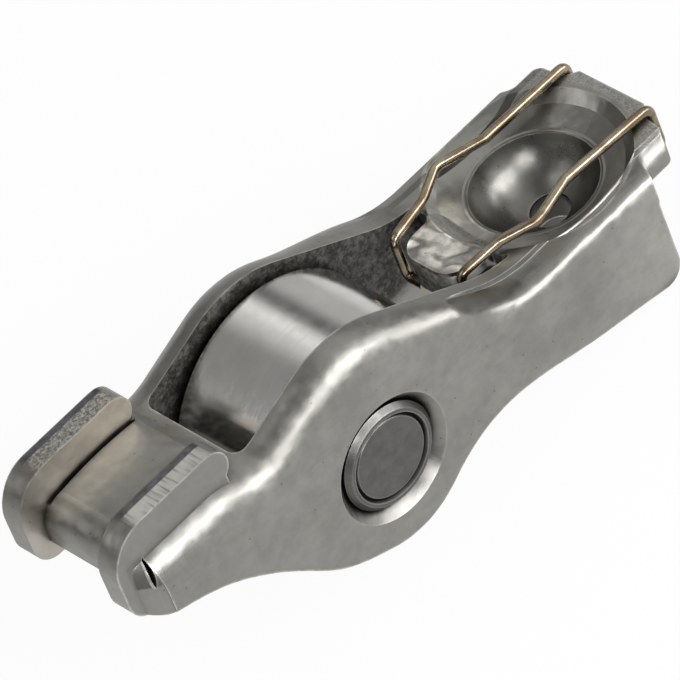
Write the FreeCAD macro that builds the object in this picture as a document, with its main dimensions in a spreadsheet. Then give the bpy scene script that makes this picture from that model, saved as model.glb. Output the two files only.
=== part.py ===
import FreeCAD, Part
import math
import os

# Roller finger follower, drawn with the socket side up.
# Origin: roller axle centre on the middle plane. +X to the ball socket, +Z out of the web.
# The arm is one stamped sheet: two side walls, a web with a ball socket, a roller window,
# a tongue and a rear tab, and a valve pad between two guide flanges at the nose.

V = FreeCAD.Vector
doc = FreeCAD.newDocument("rocker_arm")

DIMENSIONS = {
    "pivot_pitch": 20.65,     # roller axle to ball socket
    "pad_pitch": 14.4,        # roller axle to the middle of the valve pad
    "arm_width": 13.75,       # over the side walls
    "metal": 2.6,             # sheet thickness, also the outer bend radius
    "web_height": 3.3,        # web top above the axle
    "rear_bend": 1.15,        # outer bend radius beside the socket, tighter than at the crest
    "crest_height": 10.2,     # where the slopes of the wall crest would meet, above the axle
    "pad_height": 8.0,        # valve pad above the axle
    "lobe_radius": 6.45,      # wall round the axle bore
    "keel_drop": 6.35,        # lowest wall corner at the rear, below the axle
    "waist_drop": 3.7,        # wall bottom between lobe and keel
    "wall_reach": 3.85,       # socket centre to the rear end of the walls
    "tab_lip": 1.38,          # rear edge of the tab beyond the cup
    "tab_width": 11.4,
    "tongue_reach": 9.6,      # socket centre to the front edge of the tongue
    "tongue_width": 5.1,
    "window_front": 8.6,      # axle to the front edge of the roller window
    "guide_width": 6.6,       # valve slot between the flanges
    "flange_metal": 2.2,
    "flange_height": 10.4,
    "nose_reach": 5.65,       # pad middle to the foremost point
    "ball_dia": 9.14,
    "seat_drop": 1.45,        # edge of the spherical seat below the web top
    "dish_dia": 13.8,         # coined dish round the seat
    "cup_metal": 1.9,         # sheet under the ball
    "oil_hole_dia": 2.8,
    "oil_hole_shift": 0.4,
    "roller_dia": 16.92,
    "side_gap": 0.3,          # roller to wall, each side
    "axle_dia": 7.4,
    "axle_fit": 0.01,
    "sink_dia": 8.92,         # countersink at the wall face
    "needle_dia": 1.5,
    "running_gap": 0.02,
    "wire_dia": 0.7,
    "wire_seat": 0.04,        # clip wire to the sheet
    "wire_pitch": 7.5,        # between the clip's arms on the tab
    "wire_bend": 0.5,
    "wire_step": 0.79,        # rear edge of the tab stands back this far under the wire
}

sheet = doc.addObject("Spreadsheet::Sheet", "Dimensions")
for row, (name, value) in enumerate(DIMENSIONS.items(), start=1):
    sheet.set(f"A{row}", name)
    sheet.set(f"B{row}", str(value))
    sheet.setAlias(f"B{row}", name)
doc.recompute()


def size(name):
    return float(getattr(sheet, name))


def bind(item, **expressions):
    for prop, text in expressions.items():
        item.setExpression(prop.replace("__", "."), text.replace("$", "Dimensions."))
    return item


def feature(name, shape):
    item = doc.addObject("Part::Feature", name)
    item.Shape = shape
    return item


def line(a, b):
    return Part.LineSegment(a, b).toShape()


def arc(a, middle, b):
    return Part.Arc(a, middle, b).toShape()


def curve(points, start, end):
    spline = Part.BSplineCurve()
    spline.interpolate(Points=points, InitialTangent=start, FinalTangent=end)
    return spline.toShape()


def side(x, z):
    return V(x, 0, z)


def prism(edges, low, high, direction):
    face = Part.Face(Part.Wire(edges))
    face.translate(direction * low)
    return face.extrude(direction * (high - low))


def across(edges, low, high):
    return prism(edges, low, high, V(0, 1, 0))


def upward(edges, low, high):
    return prism(edges, low, high, V(0, 0, 1))


def mirrored(shape):
    return shape.mirror(V(0, 0, 0), V(0, 1, 0))


def round_corners(points, radii):
    """Straight runs through the points, joined by tangent arcs of the given radii."""
    edges = []
    last = points[0]
    for before, corner, after, radius in zip(points, points[1:], points[2:], radii):
        into = (corner - before).normalize()
        out = (after - corner).normalize()
        turn = into.getAngle(out)
        if turn < 0.001:
            continue
        reach = radius * math.tan(turn / 2)
        first = corner - into * reach
        second = corner + out * reach
        inward = (out - into).normalize()
        centre = corner + inward * (radius / math.cos(turn / 2))
        edges.append(line(last, first))
        edges.append(arc(first, centre - inward * radius, second))
        last = second
    edges.append(line(last, points[-1]))
    return edges


# Places that several pieces share
half_width = size("arm_width") / 2
metal = size("metal")
inner_half = half_width - metal
web_top = size("web_height")
web_under = web_top - metal
socket_x = size("pivot_pitch")
wall_end = socket_x + size("wall_reach")
tail_end = socket_x + size("ball_dia") / 2 + size("cup_metal") + size("tab_lip")
pad_x = -size("pad_pitch")
pad_top = size("pad_height")
nose_x = pad_x - size("nose_reach")
slot_half = size("guide_width") / 2
flange_face = slot_half + size("flange_metal")
shoulder_x = pad_x - 3.5
chin_z = pad_top - metal - 1.75
pad_rear = -size("window_front") - 1.4
EVERYWHERE = 60.0
MITRED = 1
SINK_DEPTH = 0.8


def crest(depth):
    """Top line of the stamping from shoulder to tab, moved down square to itself by depth."""
    slope = 0.555
    peak = side(0.4, size("crest_height"))
    outer = [
        side(nose_x - 5, pad_top),
        side(-size("window_front") - 2.8, pad_top),
        side(-size("window_front"), pad_top - 1.05),
        peak,
        side(peak.x + (peak.z - web_top) / slope, web_top),
        side(tail_end + 5, web_top),
    ]
    moved = [outer[0] - V(0, 0, depth)]
    for before, corner, after in zip(outer, outer[1:], outer[2:]):
        into = (corner - before).normalize()
        out = (after - corner).normalize()
        down = V(into.z + out.z, 0, -into.x - out.x).normalize()
        moved.append(corner + down * (depth / math.cos(into.getAngle(out) / 2)))
    moved.append(outer[-1] - V(0, 0, depth))
    return round_corners(moved, [5.0 - depth, 4.0 + depth, 8.0 - depth, 9.0 + depth])


def top_line():
    """Crest cut to the length between shoulder and tab."""
    top = crest(0)
    top[0] = line(side(shoulder_x, pad_top), top[0].Vertexes[1].Point)
    top[-1] = line(top[-1].Vertexes[0].Point, side(tail_end, web_top))
    return top


def wall_outline():
    """Side view of the walls and web, from the shoulder over the crest to the tab and back."""
    relief = 1.0
    keel_round = 1.5
    lobe = size("lobe_radius")
    keel = -size("keel_drop")
    waist = -size("waist_drop")
    front = math.radians(250)
    middle = math.radians(270)
    rear = math.radians(302)
    lobe_front = side(lobe * math.cos(front), lobe * math.sin(front))
    lobe_rear = side(lobe * math.cos(rear), lobe * math.sin(rear))
    lobe_low = side(lobe * math.cos(middle), lobe * math.sin(middle))
    front_way = V(math.sin(front), 0, -math.cos(front))
    rear_way = V(-math.sin(rear), 0, math.cos(rear))
    chin = side(shoulder_x, chin_z)
    keel_front = side(wall_end - keel_round, keel)
    keel_rear = side(wall_end, keel + keel_round)
    keel_mid = side(wall_end - keel_round * 0.29, keel + keel_round * 0.25)
    step = side(wall_end, web_under - relief)
    step_mid = side(wall_end + relief * 0.29, web_under - relief * 0.29)
    step_top = side(wall_end + relief, web_under)
    waist_points = [lobe_rear, side(9.3, waist), side(15.4, waist - 1.15), keel_front]
    flank_points = [lobe_front, side(-6.3, -4.1), side(-8.9, -1.65), side(-13.2, 1.75), chin]
    return top_line() + [
        line(side(tail_end, web_top), side(tail_end, web_under)),
        line(side(tail_end, web_under), step_top),
        arc(step_top, step_mid, step),
        line(step, keel_rear),
        arc(keel_rear, keel_mid, keel_front),
        curve(waist_points, rear_way, V(1, 0, -0.2)),
        arc(lobe_rear, lobe_low, lobe_front),
        curve(flank_points, front_way, V(-1, 0, 0.3)),
        line(chin, side(shoulder_x, pad_top)),
    ]


def bend_radius(x):
    """Outer bend radius along the arm, as thick as the sheet up to the crest, then tighter."""
    begin = 4.0
    end = socket_x - 10.0
    share = min(1.0, max(0.0, (x - begin) / (end - begin)))
    return metal + (size("rear_bend") - metal) * share


def make_bent_block():
    """Block under the crest line, with its two long top edges bent over."""
    low = -2 * size("keel_drop")
    edges = top_line() + [
        line(side(tail_end, web_top), side(tail_end, low)),
        line(side(tail_end, low), side(shoulder_x, low)),
        line(side(shoulder_x, low), side(shoulder_x, pad_top)),
    ]
    raw = feature("raw_block", across(edges, -half_width, half_width))
    long_edges = []
    for index, edge in enumerate(raw.Shape.Edges, start=1):
        middle = edge.valueAt((edge.FirstParameter + edge.LastParameter) / 2)
        on_side = abs(abs(middle.y) - half_width) < 0.01
        if on_side and middle.z > web_top - 0.1:
            ends = [vertex.Point.x for vertex in edge.Vertexes]
            long_edges.append((index, bend_radius(ends[0]), bend_radius(ends[1])))
    block = doc.addObject("Part::Fillet", "bent_block")
    block.Base = raw
    block.Edges = long_edges
    return block


def plan_outline():
    """Plan view limit: full width along the walls, narrower tab with rounded corners."""
    tab_half = size("tab_width") / 2
    lip_half = size("wire_pitch") / 2 - size("wire_dia") / 2 - 0.5
    seat_x = tail_end - size("wire_step")
    corner_x = seat_x - 0.31
    notch = 0.9
    wide = half_width + 1
    rear_x = wall_end + 0.1
    edges = []
    for way in (1, -1):
        points = [
            V(rear_x, way * wide, 0),
            V(rear_x, way * (tab_half + notch), 0),
            V(rear_x + notch * 0.29, way * (tab_half + notch * 0.29), 0),
            V(rear_x + notch, way * tab_half, 0),
            V(corner_x - 0.6, way * tab_half, 0),
            V(corner_x - 0.1, way * (tab_half - 0.2), 0),
            V(corner_x + 0.1, way * (tab_half - 0.7), 0),
            V(seat_x, way * (lip_half + 0.6), 0),
            V(tail_end, way * lip_half, 0),
        ]
        edges.append(line(V(nose_x - 1, way * wide, 0), points[0]))
        edges.append(line(points[0], points[1]))
        edges.append(arc(points[1], points[2], points[3]))
        edges.append(line(points[3], points[4]))
        edges.append(arc(points[4], points[5], points[6]))
        edges.append(line(points[6], points[7]))
        edges.append(line(points[7], points[8]))
    edges.append(line(V(tail_end, lip_half, 0), V(tail_end, -lip_half, 0)))
    edges.append(line(V(nose_x - 1, wide, 0), V(nose_x - 1, -wide, 0)))
    return Part.__sortEdges__(edges)


def channel():
    """The hollow under the web, open below and at both ends."""
    top = crest(metal)
    first = top[0].Vertexes[0].Point
    last = top[-1].Vertexes[1].Point
    low = -EVERYWHERE
    edges = top + [
        line(last, side(last.x, low)),
        line(side(last.x, low), side(first.x, low)),
        line(side(first.x, low), first),
    ]
    return across(edges, -inner_half, inner_half)


def window():
    """Roller window, as wide as the space between the walls."""
    front = -size("window_front")
    rear = socket_x - 5.6
    corner = 0.9
    points = [
        V(front, 0, 0),
        V(front, inner_half, 0),
        V(rear, inner_half, 0),
        V(rear, -inner_half, 0),
        V(front, -inner_half, 0),
        V(front, 0, 0),
    ]
    return upward(round_corners(points, [corner] * 4), -EVERYWHERE, EVERYWHERE)


def tongue():
    """Flat tongue in front of the socket, with a gap on each side for the clip's arms."""
    front = socket_x - size("tongue_reach")
    half = size("tongue_width") / 2
    gap_end = front + 3.2
    root = gap_end + 1.4
    points = [
        V(root, 0, 0),
        V(root, inner_half, 0),
        V(gap_end, inner_half, 0),
        V(gap_end, half, 0),
        V(front, half, 0),
        V(front, -half, 0),
        V(gap_end, -half, 0),
        V(gap_end, -inner_half, 0),
        V(root, -inner_half, 0),
        V(root, 0, 0),
    ]
    radii = [0.01, 0.6, 0.6, 1.7, 1.7, 0.6, 0.6, 0.01]
    return upward(round_corners(points, radii), web_under, web_top)


def pad():
    """Crowned valve pad, the end of the web between the flanges."""
    front = pad_x - 4.3
    rear = pad_rear
    crown = 0.15
    nose_round = 2.0
    under = pad_top - metal - 0.4
    edges = [
        line(side(rear, under), side(front, under)),
        line(side(front, under), side(front, pad_top - nose_round)),
        arc(
            side(front, pad_top - nose_round),
            side(front + nose_round * 0.29, pad_top - nose_round * 0.29 - crown * 0.7),
            side(front + nose_round, pad_top - crown),
        ),
        arc(
            side(front + nose_round, pad_top - crown),
            side(pad_x, pad_top + crown * 0.4),
            side(rear, pad_top - crown),
        ),
        line(side(rear, pad_top - crown), side(rear, under)),
    ]
    return across(edges, -slot_half - 0.5, slot_half + 0.5)


def pad_bed():
    """Room between the flanges that the pad fills."""
    length = 2 * size("nose_reach")
    bed = Part.makeBox(length, 2 * slot_half, metal)
    bed.translate(V(pad_rear - length, -slot_half, pad_top - metal / 2))
    return bed


def pad_groove():
    """Narrow relief along the foot of a flange."""
    width = 0.22
    depth = 0.5
    front = pad_x - 5.0
    groove = Part.makeBox(pad_rear + 0.8 - front, width, 2 * depth)
    groove.translate(V(front, slot_half - width, pad_top - depth))
    return groove


def flange_profile():
    """Side view of a guide flange, round the nose and down to the chin."""
    top = size("flange_height")
    rear = pad_x + 4.55
    heel = shoulder_x + 0.3
    bury = pad_top - metal / 2
    rise = top - pad_top
    radius = rise * 0.56
    rear_top = side(rear - radius, top)
    foot = side(rear_top.x + math.sqrt(radius ** 2 - (rise - radius) ** 2), pad_top)
    chin = side(heel, chin_z - 0.05)
    nose = [rear_top, side(nose_x, top), side(nose_x, chin_z - 0.1), chin]
    return [
        line(side(foot.x, bury), foot),
        arc(foot, side(rear, top - radius), rear_top),
    ] + round_corners(nose, [3.1, 1.7]) + [
        line(chin, side(heel, bury)),
        line(side(heel, bury), side(foot.x, bury)),
    ]


def flange(low):
    """Guide flange with the drawn-over edge that blanking leaves on its far face."""
    plate = across(flange_profile(), low, low + size("flange_metal"))
    rolled = []
    for edge in plate.Edges:
        middle = edge.valueAt((edge.FirstParameter + edge.LastParameter) / 2)
        far = abs(middle.y - low - size("flange_metal")) < 0.01
        outside = middle.z > pad_top or middle.x < shoulder_x
        if far and outside:
            rolled.append(edge)
    return plate.makeChamfer(0.45, rolled)


def cheek():
    """Nose side that draws in from the wall's face to the flange's outer face."""
    low = chin_z - 1.0
    bend_z = pad_top - metal
    inside = slot_half + 0.2
    reach = flange_face - inner_half
    high = bend_z + math.sqrt(metal ** 2 - reach ** 2)
    diagonal = metal * math.sqrt(0.5)
    begin = shoulder_x + 0.4
    length = begin - (nose_x + 0.9)
    sections = []
    for share in (0.0, 0.15, 0.5, 1.0):
        x = begin - share * length
        draw = max(0.0, (share - 0.15) / 0.85) ** 1.5
        outer = half_width + (flange_face - 0.03 - half_width) * draw
        bulge = inner_half + diagonal
        bulge += (flange_face - 0.02 - bulge) * draw
        ends = [
            V(x, outer, bend_z),
            V(x, flange_face - 0.04, high),
            V(x, inside, high),
            V(x, inside, low),
            V(x, outer, low),
        ]
        edges = [arc(ends[0], V(x, bulge, bend_z + diagonal), ends[1])]
        for first, second in zip(ends[1:], ends[2:] + ends[:1]):
            edges.append(line(first, second))
        sections.append(Part.Wire(edges))
    block = Part.makeLoft(sections, True, True)
    return block.common(across(flange_profile(), 0, half_width + 1))


def fold_slit():
    """Crescent gap between the flange and the wall's shoulder."""
    high = side(shoulder_x + 0.06, pad_top - 0.1)
    low = side(shoulder_x - 0.44, pad_top - 1.95)
    bulge_front = side(shoulder_x - 0.38, pad_top - 1.0)
    bulge_rear = side(shoulder_x - 0.06, pad_top - 1.0)
    edges = [arc(high, bulge_front, low), arc(low, bulge_rear, high)]
    return across(edges, flange_face - 0.7, half_width + 1)


def turned(points_edges, axis_x):
    """Solid of revolution about a vertical axis through the middle plane."""
    face = Part.Face(Part.Wire(points_edges))
    return face.revolve(V(axis_x, 0, 0), V(0, 0, 1), 360)


def cup():
    """Outside of the drawn socket under the web, a cup with a broad bevel round its floor."""
    outer = size("ball_dia") / 2 + size("cup_metal")
    high = web_under + 0.3
    low = web_top - outer
    wall = outer * 0.9
    profile = [
        side(socket_x, high),
        side(socket_x + wall, high),
        side(socket_x + wall, web_top - outer * 0.45),
        side(socket_x + outer * 0.45, low),
        side(socket_x, low),
        side(socket_x, high),
    ]
    body = turned(Part.makePolygon(profile).Edges, socket_x)
    slab = Part.makeBox(4 * outer, 2 * inner_half + 1, 4 * outer)
    slab.translate(V(socket_x - 2 * outer, -inner_half - 0.5, -2 * outer))
    return body.common(slab)


def socket():
    """Ball seat with a rounded lead-in up to the web."""
    ball = size("ball_dia") / 2
    drop = size("seat_drop")
    rim = math.sqrt(ball ** 2 - drop ** 2)
    dish = size("dish_dia") / 2
    land = 0.35
    centre = side(socket_x, web_top)
    pole = side(socket_x, web_top - ball)
    half_angle = math.asin(rim / ball) / 2
    seat_mid = side(socket_x + ball * math.sin(half_angle), web_top - ball * math.cos(half_angle))
    edge = side(socket_x + rim, web_top - drop)
    ledge = side(socket_x + rim + land, web_top - drop + 0.05)
    foot = side(socket_x + dish - 0.75, web_top - drop * 0.5)
    top = side(socket_x + dish, web_top)
    above_z = web_top + 2
    slope = (top.z - foot.z) / (top.x - foot.x)
    far_out = side(foot.x + (above_z - foot.z) / slope, above_z)
    profile = [
        arc(pole, seat_mid, edge),
        line(edge, ledge),
        line(ledge, foot),
        line(foot, far_out),
        line(far_out, side(socket_x, above_z)),
        line(side(socket_x, above_z), centre),
        line(centre, pole),
    ]
    return turned(profile, socket_x)


def cut(name, base, tool):
    item = doc.addObject("Part::Cut", name)
    item.Base = base
    item.Tool = tool
    return item


def common(name, base, tool):
    item = doc.addObject("Part::Common", name)
    item.Base = base
    item.Tool = tool
    return item


def fuse(name, pieces):
    item = doc.addObject("Part::MultiFuse", name)
    item.Shapes = pieces
    return item


def drilled(name, base, place, turn, **sizes):
    """Cut a cylinder or cone with sizes bound to the sheet."""
    kind = "Part::Cone" if "Radius2" in sizes else "Part::Cylinder"
    tool = bind(doc.addObject(kind, name + "_tool"), **sizes)
    tool.Placement = FreeCAD.Placement(place, turn)
    return cut(name, base, tool)


def make_arm():
    walls = across(wall_outline(), -half_width - 1, half_width + 1)
    blank = common("blank", make_bent_block(), feature("side_limit", walls))
    plan = upward(plan_outline(), -EVERYWHERE, EVERYWHERE)
    trimmed = common("trimmed_blank", blank, feature("plan_limit", plan))
    hollow = cut("hollow_blank", trimmed, feature("channel", channel()))
    opened = cut("open_blank", hollow, feature("window", window()))
    bedded = cut("bedded_blank", opened, feature("pad_bed", pad_bed()))
    side_of_nose = cheek()
    formed = fuse("formed", [
        bedded,
        feature("tongue", tongue()),
        feature("cup", cup()),
        feature("pad", pad()),
        feature("flange_far", flange(slot_half)),
        feature("flange_near", flange(-flange_face)),
        feature("cheek_far", side_of_nose),
        feature("cheek_near", mirrored(side_of_nose)),
    ])
    arm = cut("with_socket", formed, feature("socket", socket()))
    groove = pad_groove()
    arm = cut("with_far_groove", arm, feature("groove_far", groove))
    arm = cut("with_near_groove", arm, feature("groove_near", mirrored(groove)))
    slit = fold_slit()
    arm = cut("with_far_slit", arm, feature("slit_far", slit))
    arm = cut("with_near_slit", arm, feature("slit_near", mirrored(slit)))
    upright = FreeCAD.Rotation()
    under_ball = V(socket_x + size("oil_hole_shift"), 0, web_top - size("ball_dia"))
    arm = drilled(
        "oil_hole", arm, under_ball, upright,
        Radius="$oil_hole_dia / 2",
        Height="$ball_dia",
    )
    bore_radius = "$axle_dia / 2 + $axle_fit"
    for name, way in (("sink_far", 1), ("sink_near", -1)):
        outward = FreeCAD.Rotation(V(1, 0, 0), -90 * way)
        arm = drilled(
            name, arm, V(0, way * (half_width - SINK_DEPTH), 0), outward,
            Radius1=bore_radius,
            Radius2=f"$sink_dia - ({bore_radius})",
            Height=f"2 * {SINK_DEPTH}",
        )
    arm = drilled(
        "ArmBody", arm, V(0, half_width + 1, 0), FreeCAD.Rotation(V(1, 0, 0), 90),
        Radius=bore_radius,
        Height="$arm_width + 2",
    )
    arm.Label = "arm_body"
    return arm


def revolve_across(edges):
    """Solid of revolution about the line across the arm."""
    face = Part.Face(Part.Wire(edges))
    return face.revolve(V(0, 0, 0), V(0, 1, 0), 360)


def section(points):
    """Closed outline in a half plane through the axis, from (distance, radius) pairs."""
    corners = [V(radius, along, 0) for along, radius in points]
    corners.append(corners[0])
    return Part.makePolygon(corners).Edges


def make_axle():
    radius = size("axle_dia") / 2
    end = half_width - 0.15
    disc = radius * 0.75
    groove = 0.3
    points = [
        (-end + 0.12, 0),
        (-end + 0.12, disc),
        (-end + 0.3, disc + groove / 2),
        (-end, disc + groove),
        (-end, radius - 0.35),
        (-end + 0.35, radius),
        (end - 0.35, radius),
        (end, radius - 0.35),
        (end, disc + groove),
        (end - 0.3, disc + groove / 2),
        (end - 0.12, disc),
        (end - 0.12, 0),
    ]
    axle = feature("AxlePin", revolve_across(section(points)))
    axle.Label = "axle_pin"
    return axle


def make_roller():
    outer = size("roller_dia") / 2
    race = size("axle_dia") / 2 + size("needle_dia") + 2 * size("running_gap")
    half = inner_half - size("side_gap")
    bevel = 0.35
    points = [
        (-half, race),
        (-half, outer - bevel),
        (-half + bevel, outer),
        (half - bevel, outer),
        (half, outer - bevel),
        (half, race),
    ]
    roller = feature("Roller", revolve_across(section(points)))
    roller.Label = "roller"
    return roller


def make_needles():
    radius = size("needle_dia") / 2
    pitch = size("axle_dia") / 2 + size("running_gap") + radius
    count = math.floor(math.pi / math.asin((radius + 0.005) / pitch))
    half = inner_half - size("side_gap") - 0.1
    needles = []
    for index in range(count):
        angle = 2 * math.pi * index / count
        needle = bind(
            doc.addObject("Part::Cylinder", f"Needle{index + 1:02d}"),
            Radius="$needle_dia / 2",
            Height="$arm_width - 2 * $metal - 2 * $side_gap - 0.2",
        )
        place = V(pitch * math.cos(angle), half, pitch * math.sin(angle))
        needle.Placement = FreeCAD.Placement(place, FreeCAD.Rotation(V(1, 0, 0), 90))
        needle.Label = f"needle_{index + 1:02d}"
        needles.append(needle)
    return needles


def ease_corners(points, radius):
    """The same route with each bend as short runs that turn up to 45 degrees at a time."""
    eased = [points[0]]
    for before, corner, after in zip(points, points[1:], points[2:]):
        into = (corner - before).normalize()
        out = (after - corner).normalize()
        turn = into.getAngle(out)
        steps = max(1, round(turn / math.radians(45)))
        if steps == 1:
            eased.append(corner)
            continue
        reach = radius * math.tan(turn / 2)
        inward = (out - into).normalize()
        centre = corner + inward * (radius / math.cos(turn / 2))
        first = corner - into * reach - centre
        axis = into.cross(out)
        outer = radius / math.cos(turn / steps / 2)
        for index in range(steps):
            angle = (index + 0.5) * turn / steps
            spoke = FreeCAD.Rotation(axis, math.degrees(angle)).multVec(first)
            eased.append(centre + spoke.normalize() * outer)
    eased.append(points[-1])
    return eased


def make_clip():
    """Spring wire: hooks under the tongue, arms over the socket, closed bar under the tab."""
    radius = size("wire_dia") / 2
    lift = radius + size("wire_seat")
    over = web_top + lift
    under = web_under - lift
    arm_y = size("wire_pitch") / 2
    hook_x = socket_x - size("tongue_reach") + 0.4
    hook_y = size("tongue_width") / 2 + lift + 0.1
    rear = tail_end - size("wire_step") + lift + 0.04
    half_route = [
        V(hook_x, hook_y - 1.5, under),
        V(hook_x, hook_y, under),
        V(hook_x, hook_y, over),
        V(socket_x - 6.0, hook_y + 0.4, over + 0.3),
        V(socket_x - 3.5, hook_y + 1.6, over + 0.5),
        V(socket_x, arm_y - 0.15, over + 0.35),
        V(rear, arm_y, over),
        V(rear, arm_y, under),
        V(rear - 2.2 * size("wire_bend"), arm_y, under),
    ]
    other_half = [V(point.x, -point.y, point.z) for point in reversed(half_route)]
    route = Part.makePolygon(ease_corners(half_route + other_half, size("wire_bend")))
    start = half_route[0]
    ring = Part.Wire(Part.Circle(start, V(0, 1, 0), radius).toShape())
    clip = feature("WireClip", route.makePipeShell([ring], True, True, MITRED))
    clip.Label = "wire_clip"
    return clip


def main():
    parts = [make_arm(), make_axle(), make_roller(), make_clip()] + make_needles()
    doc.recompute()
    for item in doc.Objects:
        if "Invalid" in item.State or "Error" in item.State:
            raise RuntimeError(f"{item.Label} failed: {item.State}")
    for item in parts:
        if item.Shape.isNull() or not item.Shape.isValid():
            raise RuntimeError(f"{item.Label} has no valid shape")
    os.makedirs("parts", exist_ok=True)
    for item in parts:
        print(item.Label, len(item.Shape.Solids), round(item.Shape.Volume, 2))
        item.Shape.exportStep(f"parts/{item.Label}.step")


main()
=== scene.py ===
import math
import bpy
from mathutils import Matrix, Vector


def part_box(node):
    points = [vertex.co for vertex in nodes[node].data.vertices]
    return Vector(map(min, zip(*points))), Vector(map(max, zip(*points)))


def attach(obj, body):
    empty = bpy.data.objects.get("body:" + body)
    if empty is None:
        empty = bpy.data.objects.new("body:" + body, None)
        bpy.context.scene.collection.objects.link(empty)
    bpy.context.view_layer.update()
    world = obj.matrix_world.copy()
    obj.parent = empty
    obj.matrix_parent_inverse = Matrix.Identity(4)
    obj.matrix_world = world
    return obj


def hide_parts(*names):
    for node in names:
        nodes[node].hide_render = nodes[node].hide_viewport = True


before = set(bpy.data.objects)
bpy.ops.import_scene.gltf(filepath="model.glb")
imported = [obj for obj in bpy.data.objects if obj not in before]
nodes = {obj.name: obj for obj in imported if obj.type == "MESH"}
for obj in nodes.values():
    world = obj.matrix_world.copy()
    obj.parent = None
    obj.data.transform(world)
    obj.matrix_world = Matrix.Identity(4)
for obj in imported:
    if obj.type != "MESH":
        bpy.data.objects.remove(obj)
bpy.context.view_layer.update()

from types import SimpleNamespace

import bpy
from mathutils import Matrix, Vector

MM = 0.001


# Shader helper

CORNER_SAMPLES = 6
EDGE_FLAT_TO_SHARP = (0.93, 0.62)
CORNER_CLOSED_TO_OPEN = (0.40, 0.92)

# Where a noise value counts as low and as high
EVEN = (0.3, 0.7)
PATCHY = (0.35, 0.6)
SOFT_PATCHY = (0.35, 0.65)


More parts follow.
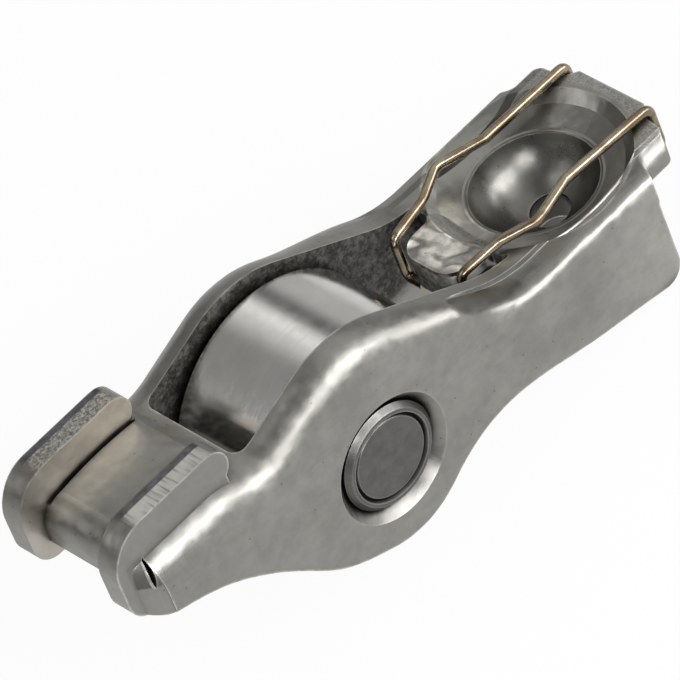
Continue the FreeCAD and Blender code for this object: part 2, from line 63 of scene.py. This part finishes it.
class Graph:
    """Adds shader nodes to one material or world and joins them."""

    def __init__(self, owner, coords="Object", scale=1000.0):
        self.owner = owner
        owner.use_nodes = True
        self.tree = owner.node_tree
        self.tree.nodes.clear()
        coords = self.node("ShaderNodeTexCoord").outputs[coords]
        self.place = self.vector("SCALE", coords, Scale=scale)
        parts = self.node("ShaderNodeSeparateXYZ", Vector=self.place)
        self.x, self.y, self.z = parts.outputs

    def node(self, kind, settings=None, **inputs):
        node = self.tree.nodes.new(kind)
        for key, value in (settings or {}).items():
            setattr(node, key, value)
        for key, value in inputs.items():
            self.feed(node.inputs[key.replace("_", " ")], value)
        return node

    def feed(self, socket, value):
        """Link a socket, or set its value; a colour of three numbers gets its alpha."""
        if isinstance(value, bpy.types.NodeSocket):
            self.tree.links.new(value, socket)
        elif isinstance(value, tuple) and len(value) == 3 and socket.type == "RGBA":
            socket.default_value = value + (1.0,)
        else:
            socket.default_value = value

    def math(self, operation, *values):
        node = self.tree.nodes.new("ShaderNodeMath")
        node.operation = operation
        for socket, value in zip(node.inputs, values):
            self.feed(socket, value)
        return node.outputs[0]

    def product(self, *values):
        result = values[0]
        for value in values[1:]:
            result = self.math("MULTIPLY", result, value)
        return result

    def rest_of(self, mask):
        """One where the mask is zero."""
        return self.math("SUBTRACT", 1.0, mask)

    def vector(self, operation, *values, **named):
        node = self.tree.nodes.new("ShaderNodeVectorMath")
        node.operation = operation
        for socket, value in zip(node.inputs, values):
            self.feed(socket, value)
        for key, value in named.items():
            self.feed(node.inputs[key], value)
        slot = "Value" if operation in ("DISTANCE", "DOT_PRODUCT") else "Vector"
        return node.outputs[slot]

    def step(self, value, low, high, start=0.0, end=1.0):
        """Smooth change from start to end while value goes from low to high."""
        node = self.node(
            "ShaderNodeMapRange", {"interpolation_type": "SMOOTHSTEP"},
            Value=value, From_Min=low, From_Max=high, To_Min=start, To_Max=end,
        )
        return node.outputs[0]

    def band(self, value, low, high, soft):
        """One between low and high, falling to zero within soft outside them."""
        rise = self.step(value, low - soft, low)
        fall = self.step(value, high, high + soft, 1.0, 0.0)
        return self.math("MULTIPLY", rise, fall)

    def noise(self, scale, detail=3.0, roughness=0.55, stretch=(1.0, 1.0, 1.0)):
        place = self.vector("MULTIPLY", self.place, stretch)
        node = self.node(
            "ShaderNodeTexNoise", Vector=place, Scale=scale, Detail=detail, Roughness=roughness,
        )
        return node.outputs["Fac"]

    def specks(self, scale, radius, soft):
        """One in small round spots scattered through the piece."""
        node = self.node(
            "ShaderNodeTexVoronoi", {"feature": "F1"}, Vector=self.place, Scale=scale, Randomness=1.0,
        )
        return self.step(node.outputs["Distance"], radius, radius + soft, 1.0, 0.0)

    def mix(self, share, first, second):
        """Blend of two numbers."""
        node = self.node("ShaderNodeMix", {"data_type": "FLOAT"})
        self.feed(node.inputs[0], share)
        self.feed(node.inputs[2], first)
        self.feed(node.inputs[3], second)
        return node.outputs[0]

    def times_in(self, mask, value, factor):
        """The value, multiplied by the factor where the mask is one."""
        return self.product(value, self.mix(mask, 1.0, factor))

    def blend(self, share, first, second):
        """Blend of two colours."""
        node = self.node("ShaderNodeMix", {"data_type": "RGBA"})
        self.feed(node.inputs[0], share)
        self.feed(node.inputs[6], first)
        self.feed(node.inputs[7], second)
        return node.outputs[2]

    def bump(self, height, depth, normal=None):
        """Relief of the given depth in millimetres."""
        node = self.node("ShaderNodeBump", Height=height, Distance=depth * MM, Strength=1.0)
        if normal is not None:
            self.feed(node.inputs["Normal"], normal)
        return node.outputs["Normal"]

    def openness(self, reach, inside):
        """How open the surface is within reach: outward for corners, inward for sharp edges."""
        node = self.node(
            "ShaderNodeAmbientOcclusion", {"inside": inside, "samples": CORNER_SAMPLES},
            Distance=reach * MM,
        )
        return node.outputs["AO"]

    def edges(self, reach):
        """One along edges that stand out, zero on faces and in corners: the mask for painted
        highlights.
        """
        return self.step(self.openness(reach, True), *EDGE_FLAT_TO_SHARP)

    def painted_corner_shade(self, reach, least):
        """Painted shade of closed corners, from least up to one in the open."""
        return self.step(self.openness(reach, False), *CORNER_CLOSED_TO_OPEN, start=least)

    def metal(self, colour, roughness, normal):
        """The material, once its metal surface has these three."""
        shader = self.node(
            "ShaderNodeBsdfPrincipled",
            Base_Color=colour, Roughness=roughness, Metallic=1.0, Normal=normal,
        )
        self.node("ShaderNodeOutputMaterial", Surface=shader.outputs[0])
        return self.owner


def material_graph(name):
    return Graph(bpy.data.materials.new(name))


def dress(node_name, material):
    """Give a carried-over piece its material."""
    mesh = nodes[node_name].data
    mesh.materials.clear()
    mesh.materials.append(material)


# Places on the arm, in millimetres from the axle's centre
# A pair of a fading mask goes from where it is zero to where it is one, and a span from end to end

BALL_CENTRE = (20.65, 0.0, 3.3)
OIL_HOLE = (21.05, 0.0, 0.0)
SEAT_RING = (4.75, 4.62)
DISH_INNER_RING = (4.7, 4.8)
DISH_OUTER_RING = (7.1, 6.8)
DISH_FRONT = (10.5, 13.0)
DISH_HIGHLIGHT_REAR = (18.0, 15.0)
DISH_HIGHLIGHT_SIDE = (-1.5, 0.5)
BORE_RING = (1.5, 1.42)
BORE_TOP = (0.0, -0.5)
REAR_BAND_RING = (7.0, 7.4)
REAR_BAND_FRONT = (24.8, 25.6)
NOSE_REAR = (-8.6, -9.2)
FLANGE_SPAN = (-17.2, -9.8)
FLANGE_TOP = (10.22, 10.36)
TORN_SPAN = (3.2, 4.5)
STRUCK_SPAN = (-5.6, -4.35)
FOLD_END_SPAN = (-19.2, -18.0)
FOLD_END_HEIGHT = (6.2, 8.0)
FOLD_END_SIDE = (5.45, 5.6)
GUIDE_SPAN = (3.25, 3.38)
PAD_SIDE = (4.3, 4.1)
BED_SIDE = (4.4, 4.2)
BED_TOP = (9.2, 8.8)
TONGUE_SPAN = (10.5, 14.4)
TONGUE_WIDTH = (0.0, 2.6)
TONGUE_TOP = (2.0, 3.0)
ABOVE_TONGUE_FRONT = (11.2, 11.6)
ABOVE_TONGUE_SIDE = (2.8, 2.6)
ABOVE_TONGUE_HEIGHT = (1.4, 2.0)
WINDOW_SIDE = (4.42, 4.36)
WINDOW_SPAN = (-8.8, 16.0)
WINDOW_HEIGHT = (-1.0, 9.0)
CUP_OUTER_RING = (7.2, 7.8)
WALL_SIDE = (6.6, 6.8)
TAIL_SPAN = (16.0, 27.0)
ROLL_SIDE = (5.2, 5.7)
ROLL_FRONT = (8.0, 14.0)
ROLL_FOOT = 0.8

# How far a face is turned to a direction, as the normal's share of it
NEARLY_FACING = (0.7, 0.9)
FULLY_FACING = (0.8, 0.95)
HALF_FACING = (0.3, 0.7)
NOT_FACING = (0.5, 0.2)


# Stamped arm

BASE_TONE = (0.23, 0.31)
FOLD_END_SHADE_TONE = 0.55
SEAT_TONE = 0.62
BORE_SHADE_TONE = 0.2
GUIDE_TONE = 1.6
TAIL_PAINTED_LIGHT = 1.35
PIT_TONE = 0.55
CORNER_SHADE_TONE = 0.32
EDGE_HIGHLIGHT_TONE = 0.8
EDGE_HIGHLIGHT_SHARE = 0.55
STAIN_SHARE = 0.2
PAD_STAIN_SHARE = 0.8

CLEAN_TINT = (1.0, 0.985, 0.92)
STAIN_TINT = (1.0, 0.94, 0.83)
GUIDE_TINT = (1.0, 0.93, 0.83)
FOLD_TINT = (0.94, 0.94, 1.0)
TONGUE_TINT = (1.0, 0.96, 0.88)


def arm_regions(g):
    """Masks from place and facing: one in the region, zero outside."""
    side = g.math("ABSOLUTE", g.y)
    normal = g.node("ShaderNodeNewGeometry").outputs["True Normal"]
    facing = g.node("ShaderNodeSeparateXYZ", Vector=normal).outputs
    facing_side = g.math("ABSOLUTE", facing[1])
    upward = facing[2]
    from_ball = g.vector("DISTANCE", g.place, BALL_CENTRE)
    from_hole = g.vector("DISTANCE", g.vector("MULTIPLY", g.place, (1.0, 1.0, 0.0)), OIL_HOLE)

    part = SimpleNamespace()
    part.nose = g.step(g.x, *NOSE_REAR)
    flange_top = g.product(
        g.band(g.x, *FLANGE_SPAN, soft=0.8), g.step(g.z, *FLANGE_TOP), g.step(upward, *NEARLY_FACING),
    )
    part.torn = g.product(flange_top, g.band(g.y, *TORN_SPAN, soft=0.15))
    part.struck = g.product(flange_top, g.band(g.y, *STRUCK_SPAN, soft=0.12))
    part.fold = g.product(flange_top, g.rest_of(g.math("ADD", part.torn, part.struck)))
    part.fold_end = g.product(
        g.band(g.x, *FOLD_END_SPAN, soft=0.1),
        g.band(g.z, *FOLD_END_HEIGHT, soft=0.2),
        g.step(side, *FOLD_END_SIDE),
    )
    part.guide = g.product(
        part.nose, g.band(side, *GUIDE_SPAN, soft=0.06), g.step(facing_side, *NEARLY_FACING),
    )
    part.pad = g.product(part.nose, g.step(side, *PAD_SIDE), g.step(upward, *FULLY_FACING))
    bed = g.product(part.nose, g.step(side, *BED_SIDE), g.step(g.z, *BED_TOP))

    part.seat = g.step(from_ball, *SEAT_RING)
    behind = g.product(g.step(g.x, *DISH_FRONT), g.step(upward, *HALF_FACING))
    part.dish = g.product(
        behind, g.step(from_ball, *DISH_OUTER_RING), g.step(from_ball, *DISH_INNER_RING),
    )
    part.burnished = g.product(part.dish, g.step(g.x, *DISH_HIGHLIGHT_REAR), g.step(g.y, *DISH_HIGHLIGHT_SIDE))
    part.bore = g.product(g.step(from_hole, *BORE_RING), g.step(g.z, *BORE_TOP))
    part.rear_band = g.product(
        behind, g.step(from_ball, *REAR_BAND_RING), g.step(g.x, *REAR_BAND_FRONT),
    )

    part.tongue = g.product(
        g.band(g.x, *TONGUE_SPAN, soft=0.9),
        g.band(side, *TONGUE_WIDTH, soft=0.3),
        g.step(g.z, *TONGUE_TOP),
    )
    above_tongue = g.product(
        g.step(g.z, *ABOVE_TONGUE_HEIGHT),
        g.step(side, *ABOVE_TONGUE_SIDE),
        g.step(g.x, *ABOVE_TONGUE_FRONT),
    )
    window = g.product(
        g.step(side, *WINDOW_SIDE),
        g.band(g.z, *WINDOW_HEIGHT, soft=1.5),
        g.band(g.x, *WINDOW_SPAN, soft=0.1),
    )
    part.pocket = g.product(
        window, g.step(upward, *NOT_FACING), g.step(from_ball, *CUP_OUTER_RING),
        g.rest_of(above_tongue),
    )
    part.hidden = g.math("MAXIMUM", part.pocket, bed)

    part.outer_wall = g.product(g.step(side, *WALL_SIDE), g.step(facing_side, *FULLY_FACING))
    part.rolled = g.product(g.step(side, *ROLL_SIDE), g.step(g.x, *ROLL_FRONT))
    return part


def arm_colour(g, part, mottle, grain):
    cloud = g.noise(0.18, detail=4.0)
    drawn = g.noise(1.4, roughness=0.6, stretch=(0.35, 1.0, 2.6))
    pocket_shade_noise = g.noise(2.2, detail=5.0, roughness=0.7)
    torn_grain = g.noise(4.6, roughness=0.8)
    scores = g.noise(2.6, detail=2.0, roughness=0.6, stretch=(1.0, 0.08, 0.08))
    # Noise for the painted shade on the flange fold.
    oxide = g.noise(2.0, detail=4.0)
    wall_cloud = g.noise(0.35, detail=5.0, roughness=0.65)

    tone = g.mix(cloud, *BASE_TONE)
    tone = g.product(tone, g.step(mottle, *EVEN, start=0.93, end=1.05))
    tone = g.times_in(part.outer_wall, tone, g.step(drawn, *EVEN, start=0.985, end=1.015))
    tone = g.times_in(part.outer_wall, tone, g.step(wall_cloud, *PATCHY, start=0.94, end=1.04))
    # Painted light: the outer walls grow lighter towards the tail, standing in for the broad
    # highlight below the rear bend.
    tone = g.times_in(part.outer_wall, tone, g.step(g.x, *TAIL_SPAN, start=1.0, end=TAIL_PAINTED_LIGHT))
    # Painted shade: the window's inner faces are darkened in patches, where shade falls between the
    # walls.
    tone = g.times_in(part.pocket, tone, g.step(pocket_shade_noise, 0.35, 0.7, start=0.22, end=0.75))
    tone = g.times_in(part.torn, tone, g.step(torn_grain, 0.38, 0.64, start=0.75, end=1.9))
    tone = g.times_in(part.struck, tone, g.step(scores, 0.36, 0.5, start=1.1, end=2.0))
    # Painted shade: the rolled fold on the flange tops is darkened in patches, standing in for the
    # dark reflection of its rounded edge.
    tone = g.times_in(part.fold, tone, g.step(oxide, *EVEN, start=0.38, end=0.62))
    # Painted shade: the small face beside the slit at the nose is darkened, hiding its highlight.
    tone = g.times_in(part.fold_end, tone, FOLD_END_SHADE_TONE)
    tone = g.times_in(part.rear_band, tone, g.step(grain, *PATCHY, start=0.95, end=1.6))
    tone = g.times_in(part.seat, tone, SEAT_TONE)
    # Painted shade: the oil hole's wall is darkened, where shade falls inside it.
    tone = g.times_in(part.bore, tone, BORE_SHADE_TONE)
    # Painted highlight: the tongue is made lighter in patches, standing in for the highlights on its
    # crumpled top.
    tone = g.times_in(part.tongue, tone, g.step(g.noise(0.8), *SOFT_PATCHY, start=1.3, end=2.4))
    # Painted highlight: the front of the dish towards +y is made two to three times lighter in
    # patches, standing in for a reflection.
    dish_highlight_strength = g.step(g.noise(0.5, detail=2.0), *PATCHY, start=2.0, end=3.4)
    tone = g.times_in(part.burnished, tone, dish_highlight_strength)
    tone = g.times_in(part.guide, tone, GUIDE_TONE)
    tone = g.times_in(g.specks(0.9, radius=0.035, soft=0.04), tone, PIT_TONE)

    # Painted shade: closed corners and creases are darkened where shade falls.
    corner_shade_factor = g.painted_corner_shade(0.9, least=CORNER_SHADE_TONE)
    tone = g.product(tone, corner_shade_factor)
    # Painted highlight: edges that stand out are lightened in patches, not in the window or in
    # corners.
    highlight_patches = g.step(g.noise(1.3), *PATCHY, start=0.35, end=1.0)
    edge_highlight = g.product(g.edges(0.16), g.rest_of(part.hidden), corner_shade_factor, highlight_patches)
    tone = g.mix(g.product(edge_highlight, EDGE_HIGHLIGHT_SHARE), tone, EDGE_HIGHLIGHT_TONE)

    stain = g.step(g.noise(0.4), 0.45, 0.65)
    stain = g.product(stain, g.math("ADD", g.product(part.pad, PAD_STAIN_SHARE), STAIN_SHARE))
    tint = g.blend(stain, CLEAN_TINT, STAIN_TINT)
    tint = g.blend(part.guide, tint, GUIDE_TINT)
    tint = g.blend(part.fold, tint, FOLD_TINT)
    tint = g.blend(part.tongue, tint, TONGUE_TINT)
    return g.vector("SCALE", tint, Scale=tone)


def arm_roughness(g, part, mottle):
    rough = g.step(mottle, *EVEN, start=0.30, end=0.40)
    rough = g.mix(g.product(part.dish, 0.7), rough, 0.26)
    rough = g.mix(part.tongue, rough, 0.22)
    rough = g.mix(part.seat, rough, g.step(g.noise(0.8), *EVEN, start=0.26, end=0.36))
    rough = g.mix(part.torn, rough, 0.5)
    rough = g.mix(part.fold_end, rough, 0.6)
    rough = g.mix(part.rear_band, rough, 0.5)
    return g.mix(part.pocket, rough, 0.6)


def arm_relief(g, part, grain):
    """Fine grain, the tongue's crumple, the slight roll under the rear bend, and long waves."""
    fine = g.mix(part.torn, g.product(grain, 0.05), g.noise(4.2, detail=2.0, roughness=0.8))
    fine = g.mix(part.seat, fine, 0.0)
    fine = g.mix(part.pocket, fine, g.noise(2.5, detail=4.0, roughness=0.7))
    relief = g.bump(fine, depth=0.12)
    crumple = g.noise(0.26, detail=1.5, roughness=0.5, stretch=(1.0, 0.8, 1.0))
    relief = g.bump(g.product(part.tongue, crumple), depth=2.6, normal=relief)
    rise = g.math("MAXIMUM", g.math("SUBTRACT", g.z, ROLL_FOOT), 0.0)
    roll = g.product(part.rolled, rise, rise, -0.30)
    relief = g.bump(roll, depth=1.0, normal=relief)
    waves = g.times_in(part.seat, g.noise(0.35, detail=2.0), 0.5)
    return g.bump(waves, depth=0.16, normal=relief)


def stamped_steel():
    """Tumbled stamping: satin walls, coined dish, a seat showing wear, torn flange tops, window faces
    painted dark as shade; with painted shade in corners and painted highlights.
    """
    g = material_graph("stamped_steel")
    part = arm_regions(g)
    mottle = g.noise(1.1, detail=5.0, roughness=0.6)
    grain = g.noise(8.0, roughness=0.7)
    colour = arm_colour(g, part, mottle, grain)
    roughness = arm_roughness(g, part, mottle)
    return g.metal(colour, roughness, arm_relief(g, part, grain))


# Roller, axle and needles

GROUND_TINT = (1.0, 0.985, 0.955)


def ground_steel(name, tone, rough_low, rough_high, patchy=0.0):
    """Turned and ground steel with fine marks that run round the axle."""
    g = material_graph(name)
    lines = g.noise(1.0, detail=4.0, roughness=0.7, stretch=(0.02, 14.0, 0.02))
    patches = g.step(g.noise(0.9, detail=5.0, roughness=0.65), *EVEN)
    cloud = g.mix(patchy, g.noise(0.35), patches)
    shade = g.mix(cloud, tone * 0.86, tone * 1.12)
    shade = g.product(shade, g.step(lines, *EVEN, start=0.96, end=1.04))
    # Painted shade in closed corners.
    shade = g.product(shade, g.painted_corner_shade(0.4, least=0.5))
    # Painted highlight along edges that stand out.
    shade = g.mix(g.product(g.edges(0.14), 0.45), shade, 0.7)
    colour = g.vector("SCALE", GROUND_TINT, Scale=shade)
    rough = g.step(g.noise(1.2), *EVEN, start=rough_low, end=rough_high)
    relief = g.bump(lines, depth=0.004)
    relief = g.bump(g.noise(7.0, detail=2.0), depth=0.002, normal=relief)
    return g.metal(colour, rough, relief)


# Wire clip

WIRE_DARK = (0.20, 0.155, 0.105)
WIRE_PALE = (0.33, 0.28, 0.21)


def spring_wire():
    """Drawn wire with a brown oxide tint in darker and paler patches."""
    g = material_graph("spring_wire")
    cloud = g.noise(0.6)
    streaks = g.noise(4.0, roughness=0.6, stretch=(0.3, 1.0, 1.0))
    tint = g.blend(g.step(cloud, *SOFT_PATCHY), WIRE_DARK, WIRE_PALE)
    colour = g.vector("SCALE", tint, Scale=g.step(streaks, *EVEN, start=0.88, end=1.1))
    rough = g.step(streaks, *EVEN, start=0.20, end=0.28)
    return g.metal(colour, rough, g.bump(streaks, depth=0.006))


WIRE_RADIUS = 0.35
LEG_BEND = 1.2
HOOK_BEND = 0.55
HOOK_TURN = math.radians(60)
ARC_SHARE = 0.48              # of a straight length, at most, that one bend takes
CLIP_HALF_ROUTE = [
    (11.45, 1.54, 0.31),
    (11.45, 3.04, 0.31),
    (11.45, 3.04, 3.69),
    (14.65, 3.44, 3.99),
    (17.15, 4.64, 4.19),
    (20.65, 3.60, 4.04),
    (28.14, 3.75, 3.69),
    (28.14, 3.75, 0.31),
    (27.04, 3.75, 0.31),
]


def bend_point(spline, index, place, before, after):
    """One point of the wire's line, in millimetres, with its two handles."""
    point = spline.bezier_points[index]
    point.handle_left_type = "FREE"
    point.handle_right_type = "FREE"
    point.co = place * MM
    point.handle_left = (place + before) * MM
    point.handle_right = (place + after) * MM


def clip_line(spline):
    """Straight lengths with an arc at each corner of the route."""
    half = [Vector(point) for point in CLIP_HALF_ROUTE]
    route = half + [Vector((point.x, -point.y, point.z)) for point in reversed(half)]
    last = 2 * len(route) - 3
    spline.bezier_points.add(last)
    still = Vector((0.0, 0.0, 0.0))
    bend_point(spline, 0, route[0], still, still)
    for index in range(1, len(route) - 1):
        before, corner, after = route[index - 1:index + 2]
        into = (corner - before).normalized()
        out = (after - corner).normalized()
        turn = into.angle(out)
        wish = LEG_BEND if turn < HOOK_TURN else HOOK_BEND
        room = ARC_SHARE * min((corner - before).length, (after - corner).length)
        reach = min(wish * math.tan(turn / 2), room)
        radius = reach / math.tan(turn / 2)
        handle = radius * math.tan(turn / 4) * 4 / 3
        bend_point(spline, 2 * index - 1, corner - into * reach, still, into * handle)
        bend_point(spline, 2 * index, corner + out * reach, -out * handle, still)
    bend_point(spline, last, route[-1], still, still)


def clip_piece():
    """Bent wire with a true arc at each bend, on the route of the clip's faceted solid."""
    curve = bpy.data.curves.new("bent_wire", "CURVE")
    curve.dimensions = "3D"
    curve.bevel_depth = WIRE_RADIUS * MM
    curve.bevel_resolution = 6
    curve.resolution_u = 8
    curve.use_fill_caps = True
    clip_line(curve.splines.new("BEZIER"))
    curve.materials.append(spring_wire())
    piece = bpy.data.objects.new("bent_wire_clip", curve)
    bpy.context.scene.collection.objects.link(piece)
    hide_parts("wire_clip")
    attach(piece, "arm")


dress("arm_body", stamped_steel())
dress("roller", ground_steel("ground_roller", tone=0.62, rough_low=0.12, rough_high=0.17))
dress("axle_pin", ground_steel("turned_axle", tone=0.12, rough_low=0.28, rough_high=0.4, patchy=1.0))
needle_steel = ground_steel("needle_steel", tone=0.5, rough_low=0.12, rough_high=0.2)
for name in nodes:
    if name.startswith("needle_"):
        dress(name, needle_steel)
clip_piece()


# Floor that touches the roller and the rear corners of the walls

KEEL_X = 0.0230
KEEL_Z = -0.00485
KEEL_RADIUS = 0.0015
FLOOR_HALF = 3.0
FLOOR_GREY = 0.78
WHITE_SHARE = 0.94            # of the white seen by the camera and by mirroring metal
FAR_SIDE_SHARE = 0.2
FAR_SIDE_SPAN = (25.0, 0.0)

# Painted shadow spot on the floor under the socket, which shows through the oil hole, in the floor's
# own millimetres
SHADOW_SPOT_CENTRE = (22.5, 3.8, 0.0)
SHADOW_SPOT_RING = (1.3, 2.5)
SHADOW_SPOT_GREY = 0.25


def floor_material():
    """Pale paper, white to the camera and in reflections, with a painted shadow spot under the
    socket.
    """
    g = material_graph("pale_floor")
    # Painted shadow: one outside the dark spot, zero inside it, where the floor is dark grey and not
    # white.
    clear = g.step(g.vector("DISTANCE", g.place, SHADOW_SPOT_CENTRE), *SHADOW_SPOT_RING)
    path = g.node("ShaderNodeLightPath").outputs
    bounced = g.math("MAXIMUM", path["Is Glossy Ray"], path["Is Transmission Ray"])
    near_side = g.step(g.y, *FAR_SIDE_SPAN, start=FAR_SIDE_SHARE)
    seen = g.math("MAXIMUM", path["Is Camera Ray"], g.product(bounced, near_side))
    white = g.node("ShaderNodeEmission", Color=(1.0, 1.0, 1.0))
    grey = g.blend(clear, (SHADOW_SPOT_GREY,) * 3, (FLOOR_GREY,) * 3)
    paper = g.node("ShaderNodeBsdfDiffuse", Color=grey)
    surface = g.node("ShaderNodeMixShader")
    g.feed(surface.inputs[0], g.product(seen, clear, WHITE_SHARE))
    g.feed(surface.inputs[1], paper.outputs[0])
    g.feed(surface.inputs[2], white.outputs[0])
    g.node("ShaderNodeOutputMaterial", Surface=surface.outputs[0])
    return g.owner


def stage_floor():
    """Plane under the roller, tilted until it also touches the keel of the walls."""
    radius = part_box("roller")[1].z
    keel_angle = math.atan2(KEEL_Z, KEEL_X)
    tilt = keel_angle + math.asin((radius - KEEL_RADIUS) / math.hypot(KEEL_X, KEEL_Z))
    corners = [(-1, -1), (1, -1), (1, 1), (-1, 1)]
    mesh = bpy.data.meshes.new("floor")
    mesh.from_pydata([(x * FLOOR_HALF, y * FLOOR_HALF, 0) for x, y in corners], [], [(0, 1, 2, 3)])
    mesh.materials.append(floor_material())
    floor = bpy.data.objects.new("floor", mesh)
    bpy.context.scene.collection.objects.link(floor)
    turn = Matrix.Rotation(-tilt, 4, "Y")
    floor.matrix_world = turn @ Matrix.Translation((0, 0, -radius))


# Studio

HORIZON = (-0.15, -0.02)
HORIZON_LEVELS = (0.75, 0.60)
REAR_STEPS = [((0.05, 0.20), 0.60), ((0.36, 0.50), 0.16), ((0.58, 0.66), 0.90)]
FRONT_STEPS = [((0.05, 0.20), 0.18), ((0.25, 0.50), 0.34)]
FRONT_TO_REAR = (-0.05, 0.30)
STRIP_WAY = (0.40, 0.63, 0.665)
STRIP_WIDTH = (0.992, 0.998)
STRIP_LEVEL = 0.40
SURROUND_TINT = (1.0, 1.0, 0.985)


def studio_world():
    """Pale surround with a dark gap and a lit strip overhead, white to the camera."""
    world = bpy.data.worlds.new("studio")
    bpy.context.scene.world = world
    g = Graph(world, "Generated", 1.0)
    low = g.step(g.z, *HORIZON, *HORIZON_LEVELS)
    rear = low
    for heights, brightness in REAR_STEPS:
        rear = g.mix(g.step(g.z, *heights), rear, brightness)
    front = low
    for heights, brightness in FRONT_STEPS:
        front = g.mix(g.step(g.z, *heights), front, brightness)
    level = g.mix(g.step(g.x, *FRONT_TO_REAR), front, rear)
    toward_strip = g.vector("DOT_PRODUCT", g.place, Vector(STRIP_WAY).normalized())
    level = g.math("ADD", level, g.step(toward_strip, *STRIP_WIDTH, end=STRIP_LEVEL))
    camera_ray = g.node("ShaderNodeLightPath").outputs["Is Camera Ray"]
    level = g.math("MAXIMUM", level, camera_ray)
    surround = g.node("ShaderNodeBackground", Color=SURROUND_TINT, Strength=level)
    g.node("ShaderNodeOutputWorld", Surface=surround.outputs[0])


def softbox(name, way, distance, width, height, watts):
    """Rectangular lamp that faces the axle's centre, in metres."""
    lamp = bpy.data.lights.new(name, "AREA")
    lamp.shape = "RECTANGLE"
    lamp.size = width
    lamp.size_y = height
    lamp.energy = watts
    item = bpy.data.objects.new(name, lamp)
    bpy.context.scene.collection.objects.link(item)
    way = Vector(way).normalized()
    item.location = way * distance
    item.rotation_euler = way.to_track_quat("Z", "Y").to_euler()


# Camera, at the photograph's angle

RIGHT = Vector((0.679, -0.678, -0.280)).normalized()
BACK = Vector((-0.341, -0.630, 0.698)).normalized()
UP = BACK.cross(RIGHT).normalized()
CAMERA_DISTANCE = 555.6
PIXELS_PER_MM = 16.129
IMAGE_PIXELS = 680.0
AXLE_PIXEL = (318.18, 416.51)
SENSOR_WIDTH = 36.0


def camera():
    """Long lens that looks at the middle of a square image."""
    across = (IMAGE_PIXELS / 2 - AXLE_PIXEL[0]) / PIXELS_PER_MM
    upward = (AXLE_PIXEL[1] - IMAGE_PIXELS / 2) / PIXELS_PER_MM
    place = BACK * CAMERA_DISTANCE
    target = RIGHT * across + UP * upward
    back = (place - target).normalized()
    right = UP.cross(back).normalized()
    up = back.cross(right)
    data = bpy.data.cameras.new("camera")
    data.sensor_width = SENSOR_WIDTH
    data.lens = SENSOR_WIDTH * PIXELS_PER_MM * CAMERA_DISTANCE / IMAGE_PIXELS
    data.clip_start = 0.01
    data.clip_end = 20.0
    item = bpy.data.objects.new("camera", data)
    bpy.context.scene.collection.objects.link(item)
    turn = Matrix((right, up, back)).transposed().to_4x4()
    item.matrix_world = Matrix.Translation(place * MM) @ turn
    bpy.context.scene.camera = item


stage_floor()
studio_world()
softbox("key", (0.34, -0.74, 0.57), distance=0.55, width=0.42, height=0.24, watts=2.0)
softbox("front", (-0.38, -0.76, 0.53), distance=0.55, width=0.30, height=0.15, watts=1.0)
softbox("rear", (0.82, -0.46, 0.33), distance=0.55, width=0.26, height=0.20, watts=0.65)
left_of_camera = -RIGHT * 0.8 + BACK * 0.5 + UP * 0.2
softbox("fill", left_of_camera, distance=0.6, width=0.25, height=0.4, watts=0.5)
camera()

bpy.context.scene.view_settings.view_transform = "Standard"
